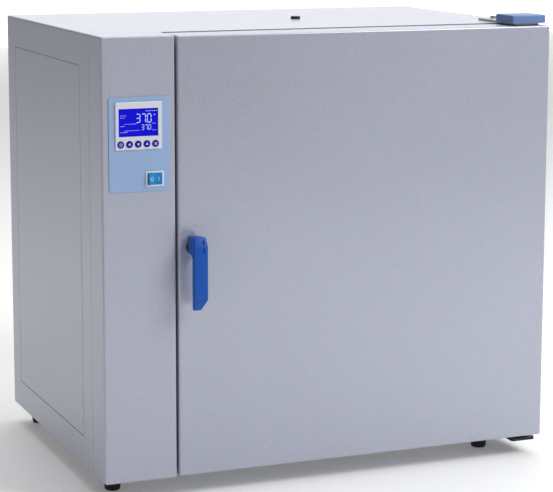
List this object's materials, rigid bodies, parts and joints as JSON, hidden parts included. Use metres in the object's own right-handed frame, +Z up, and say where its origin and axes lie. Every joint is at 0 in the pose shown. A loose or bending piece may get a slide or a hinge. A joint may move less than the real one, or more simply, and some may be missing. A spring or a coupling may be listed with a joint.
{
  "type": "laboratory incubator",
  "caption": "Bench incubator: silver steel cabinet on rubber feet, control column with display and switch, hinged insulated door with a blue turn handle, inner glass door, wire shelves.",
  "frame": {"origin": "on the ground, under the middle of the whole object's box", "axes": "+X to the right seen from the front, +Y to the rear, +Z up"},
  "size_m": [0.82, 0.625, 0.793],
  "materials": {
    "silver_paint": "satin",
    "zinc_plated_steel": "satin",
    "stainless_steel": "satin",
    "polished_wire": "polished",
    "bright_steel": "polished",
    "dark_bracket_paint": "satin",
    "mineral_wool": "matte",
    "black_rubber": "matte",
    "grey_silicone": "satin",
    "white_moulding": "satin",
    "pale_blue_moulding": "satin",
    "silver_moulding": "satin",
    "display_blue": "gloss",
    "navy_caps": "gloss",
    "cyan_rocker": "gloss",
    "blue_moulding": "satin",
    "cover_moulding": "satin",
    "black_plastic": "satin",
    "circuit_board": "satin",
    "aluminium_parts": "satin",
    "clear_glass": "polished",
    "silicone_tube": "satin"
  },
  "bodies": {
    "cabinet": {"outer_case": "silver_paint", "service_panel": "silver_paint", "control_column": "silver_paint", "rear_panel": "silver_paint", "base_pan": "zinc_plated_steel", "front_frame": "zinc_plated_steel", "latch_keeper": "zinc_plated_steel", "electrics_plate": "zinc_plated_steel", "m6_screws": "zinc_plated_steel", "m4_screws": "zinc_plated_steel", "upper_hinge_bracket": "zinc_plated_steel", "chamber_liner": "stainless_steel", "floor_baffle": "stainless_steel", "shelf_uprights": "stainless_steel", "shelf_clips": "stainless_steel", "heater_element": "stainless_steel", "temperature_probe": "stainless_steel", "glass_keeper": "stainless_steel", "glass_hinge_blocks": "stainless_steel", "shelf_lower": "polished_wire", "shelf_upper": "polished_wire", "hinge_pins": "bright_steel", "lower_hinge_bracket": "dark_bracket_paint", "insulation_slabs": "mineral_wool", "feet": "black_rubber", "glass_seal": "grey_silicone", "throat_frame": "white_moulding", "switch_housing": "white_moulding", "control_plate": "pale_blue_moulding", "controller_bezel": "silver_moulding", "display_window": "display_blue", "hinge_cover": "cover_moulding", "controller_back": "black_plastic", "solid_state_relay": "black_plastic", "terminal_block": "black_plastic", "mains_inlet": "black_plastic", "fuse_holder": "black_plastic", "control_board": "circuit_board", "heat_sink": "aluminium_parts", "power_supply": "aluminium_parts", "vent_tube": "silicone_tube"},
    "door": {"door_skin": "silver_paint", "door_inner_panel": "stainless_steel", "door_insulation": "mineral_wool", "door_gasket": "grey_silicone", "hinge_bushes": "black_plastic", "spindle_sleeve": "black_plastic"},
    "latch": {"handle": "blue_moulding", "latch_spindle": "bright_steel", "latch_finger": "bright_steel"},
    "glass_door": {"glass_pane": "clear_glass", "glass_hinge_leaves": "stainless_steel"},
    "glass_latch": {"glass_knob": "black_plastic"},
    "power_rocker": {"rocker": "cyan_rocker"},
    "vent_stopper": {"vent_plug": "black_plastic"},
    "button_1": {"key_1": "navy_caps"},
    "button_2": {"key_2": "navy_caps"},
    "button_3": {"key_3": "navy_caps"},
    "button_4": {"key_4": "navy_caps"},
    "button_5": {"key_5": "navy_caps"}
  },
  "joints": [
    {"name": "door_swing", "type": "hinge", "parent": "cabinet", "child": "door", "pos_m": [0.388, -0.2425, 0.406], "axis": [0, 0, 1], "range_deg": [0, 115]},
    {"name": "latch_turn", "type": "hinge", "parent": "door", "child": "latch", "pos_m": [-0.2565, -0.2675, 0.426], "axis": [0, -1, 0], "range_deg": [0, 90]},
    {"name": "glass_door_swing", "type": "hinge", "parent": "cabinet", "child": "glass_door", "pos_m": [0.3401, -0.1795, 0.406], "axis": [0, 0, 1], "range_deg": [0, 92]},
    {"name": "glass_latch_turn", "type": "hinge", "parent": "glass_door", "child": "glass_latch", "pos_m": [-0.1922, -0.173, 0.406], "axis": [0, -1, 0], "range_deg": [0, 90]},
    {"name": "rocker_tip", "type": "hinge", "parent": "cabinet", "child": "power_rocker", "pos_m": [-0.32095, -0.2678, 0.5439], "axis": [0, 0, -1], "range_deg": [0, 14]},
    {"name": "vent_plug_lift", "type": "slide", "parent": "cabinet", "child": "vent_stopper", "axis": [0, 0, 1], "range_m": [0, 0.012]},
    {"name": "key_1_press", "type": "slide", "parent": "cabinet", "child": "button_1", "axis": [0, 1, 0], "range_m": [0, 0.0008], "stiffness_N_per_m": 500},
    {"name": "key_2_press", "type": "slide", "parent": "cabinet", "child": "button_2", "axis": [0, 1, 0], "range_m": [0, 0.0008], "stiffness_N_per_m": 500},
    {"name": "key_3_press", "type": "slide", "parent": "cabinet", "child": "button_3", "axis": [0, 1, 0], "range_m": [0, 0.0008], "stiffness_N_per_m": 500},
    {"name": "key_4_press", "type": "slide", "parent": "cabinet", "child": "button_4", "axis": [0, 1, 0], "range_m": [0, 0.0008], "stiffness_N_per_m": 500},
    {"name": "key_5_press", "type": "slide", "parent": "cabinet", "child": "button_5", "axis": [0, 1, 0], "range_m": [0, 0.0008], "stiffness_N_per_m": 500}
  ],
  "couplings": [
    {"joint": "glass_door_swing", "follows": "door_swing", "ratio": 0.8}
  ]
}
